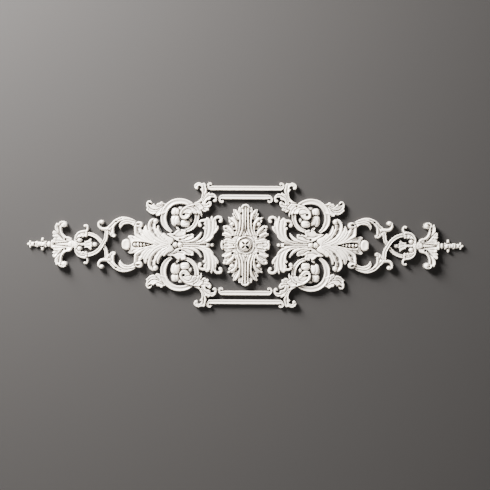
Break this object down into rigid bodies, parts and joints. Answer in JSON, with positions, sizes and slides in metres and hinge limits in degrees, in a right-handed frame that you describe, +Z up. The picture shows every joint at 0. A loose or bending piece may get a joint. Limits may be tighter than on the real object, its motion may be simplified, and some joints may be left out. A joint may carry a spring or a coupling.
{
  "type": "relief ornament",
  "caption": "Symmetrical cast plaster wall ornament: an acanthus rosette between channelled rails, with a scrollwork arm of leaves, roses and crossing strands on each side.",
  "frame": {"origin": "middle of the rosette's flat back, on the wall", "axes": "+X along the ornament, +Z up, and the front faces -Y, so that +Y runs into the wall"},
  "size_m": [1.5028, 0.028, 0.429],
  "materials": {
    "plaster": "matt to satin white paint over cast plaster"
  },
  "bodies": {
    "root": {"rosette": "plaster", "scrollwork_left": "plaster", "scrollwork_right": "plaster", "rail_top_outer": "plaster", "rail_top_inner": "plaster", "rail_bottom_inner": "plaster", "rail_bottom_outer": "plaster"}
  },
  "joints": []
}
